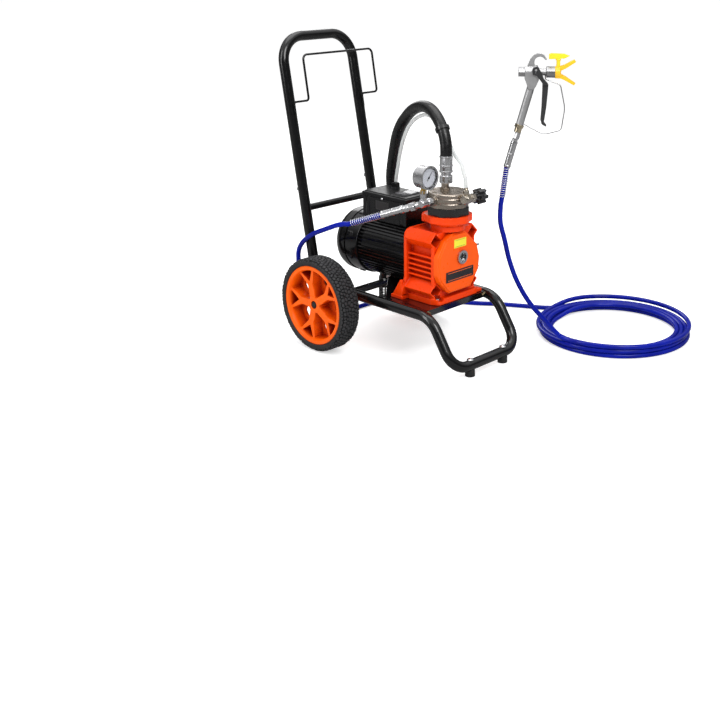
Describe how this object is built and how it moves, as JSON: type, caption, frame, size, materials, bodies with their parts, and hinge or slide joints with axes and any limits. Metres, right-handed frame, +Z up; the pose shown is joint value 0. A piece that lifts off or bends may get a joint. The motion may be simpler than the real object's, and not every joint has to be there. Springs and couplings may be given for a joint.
{
  "type": "airless paint sprayer",
  "caption": "Wheeled electric diaphragm paint sprayer: bent tube cart with handle, motor and orange pump, gauge, suction hose, coiled spray hose and gun.",
  "frame": {"origin": "floor point under the middle of the whole object's box, hose coil included", "axes": "+X to the front of the cart, away from the handle; +Y to the cart's left; +Z up"},
  "size_m": [0.953, 0.8937, 0.826],
  "materials": {
    "frame_paint": "gloss black powder coat",
    "bright_steel": "zinc plated",
    "chrome_trim": "nickel plated, bright",
    "black_rubber": "matte",
    "wheel_plastic": "semi-gloss moulded",
    "tyre_rubber": "matte, fine block tread",
    "motor_paint": "gloss black",
    "lamination": "varnished stack",
    "box_plastic": "satin",
    "switch_grey": "satin rocker boot",
    "pump_paint": "semi-gloss orange enamel",
    "clear_glass": "clear",
    "label_film": "printed film",
    "black_plastic": "satin",
    "pump_steel": "turned stainless",
    "dial_face": "printed dial",
    "clear_tube": "translucent tube",
    "blue_hose": "satin braided cover",
    "gun_alloy": "satin grey cast",
    "dark_metal": "dark grey coat",
    "brass": "machined",
    "guard_yellow": "moulded",
    "tip_yellow": "moulded"
  },
  "bodies": {
    "cart": {"base_frame": "frame_paint", "deck_plate": "frame_paint", "axle": "bright_steel", "axle_clips": "bright_steel", "handle_frame": "frame_paint", "hose_hook": "frame_paint", "frame_bolts": "chrome_trim", "rubber_feet": "black_rubber", "motor_housing": "motor_paint", "rear_bell": "motor_paint", "fan_cowl": "motor_paint", "stator": "lamination", "terminal_box": "box_plastic", "terminal_lid": "box_plastic", "pump_housing": "pump_paint", "front_cover": "pump_paint", "sight_bezel": "chrome_trim", "sight_lens": "clear_glass", "pump_bolts": "bright_steel", "label_plates": "label_film", "pump_collar": "pump_paint", "spacer_ring": "black_plastic", "paint_head": "pump_steel", "diaphragm": "black_rubber", "piston": "bright_steel", "piston_spring": "bright_steel", "inlet_adapter": "pump_steel", "check_balls": "chrome_trim", "outlet_tee": "chrome_trim", "gauge_case": "chrome_trim", "gauge_dial": "dial_face", "gauge_glass": "clear_glass", "suction_coupling": "chrome_trim", "suction_hose": "black_rubber", "hose_clip": "black_plastic", "strainer": "black_plastic", "return_hose": "clear_tube", "prime_valve": "chrome_trim", "hose_fittings": "chrome_trim", "hose_guards": "chrome_trim", "spray_hose": "blue_hose", "gun_swivel": "brass"},
    "wheel_right": {"rim_right": "wheel_plastic", "tyre_right": "tyre_rubber"},
    "wheel_left": {"rim_left": "wheel_plastic", "tyre_left": "tyre_rubber"},
    "motor_rotor": {"rotor": "bright_steel", "cooling_fan": "black_plastic"},
    "power_rocker": {"power_switch": "switch_grey"},
    "gauge_pointer": {"gauge_needle": "black_plastic"},
    "prime_handle": {"prime_knob": "black_plastic"},
    "gun": {"gun_body": "gun_alloy", "gun_cap": "dark_metal", "trigger_guard": "bright_steel", "tip_nut": "chrome_trim"},
    "gun_trigger": {"trigger": "dark_metal"},
    "needle_valve": {"gun_needle": "bright_steel"},
    "guard": {"tip_guard": "guard_yellow"},
    "tip": {"spray_tip": "tip_yellow"}
  },
  "joints": [
    {"name": "wheel_right_spin", "type": "hinge", "parent": "cart", "child": "wheel_right", "pos_m": [-0.2446, -0.4163, 0.127], "axis": [0, 1, 0], "continuous": true},
    {"name": "wheel_left_spin", "type": "hinge", "parent": "cart", "child": "wheel_left", "pos_m": [-0.2446, -0.0313, 0.127], "axis": [0, 1, 0], "continuous": true},
    {"name": "rotor_spin", "type": "hinge", "parent": "cart", "child": "motor_rotor", "pos_m": [-0.1446, -0.2188, 0.263], "axis": [1, 0, 0], "continuous": true},
    {"name": "switch_rock", "type": "hinge", "parent": "cart", "child": "power_rocker", "pos_m": [-0.1176, -0.2148, 0.411], "axis": [1, 0, 0], "range_deg": [0, 9]},
    {"name": "gauge_sweep", "type": "hinge", "parent": "cart", "child": "gauge_pointer", "pos_m": [0.0538, -0.3118, 0.498], "axis": [-1, 0, 0], "range_deg": [-170, 95]},
    {"name": "prime_turn", "type": "hinge", "parent": "cart", "child": "prime_handle", "pos_m": [0.1029, -0.1838, 0.436], "axis": [0, 1, 0], "range_deg": [0, 180]},
    {"name": "gun_swivel_turn", "type": "hinge", "parent": "cart", "child": "gun", "pos_m": [0.14468, -0.06373, 0.62359], "axis": [0.2011, 0.1734, 0.9641], "continuous": true},
    {"name": "trigger_pull", "type": "hinge", "parent": "gun", "child": "gun_trigger", "pos_m": [0.17161, -0.04052, 0.756], "axis": [-0.653, 0.7573, 0], "range_deg": [0, 12]},
    {"name": "needle_draw", "type": "slide", "parent": "gun", "child": "needle_valve", "axis": [0.7573, 0.653, 0], "range_m": [-0.0016, 0.0001]},
    {"name": "guard_turn", "type": "hinge", "parent": "gun", "child": "guard", "pos_m": [0.21477, -0.00329, 0.75], "axis": [0.7573, 0.653, 0], "range_deg": [-90, 90]},
    {"name": "tip_reverse", "type": "hinge", "parent": "guard", "child": "tip", "pos_m": [0.21477, -0.00329, 0.76], "axis": [0, 0, 1], "range_deg": [0, 180]}
  ],
  "couplings": [
    {"joint": "needle_draw", "follows": "trigger_pull", "m_per_rad": -0.006}
  ]
}
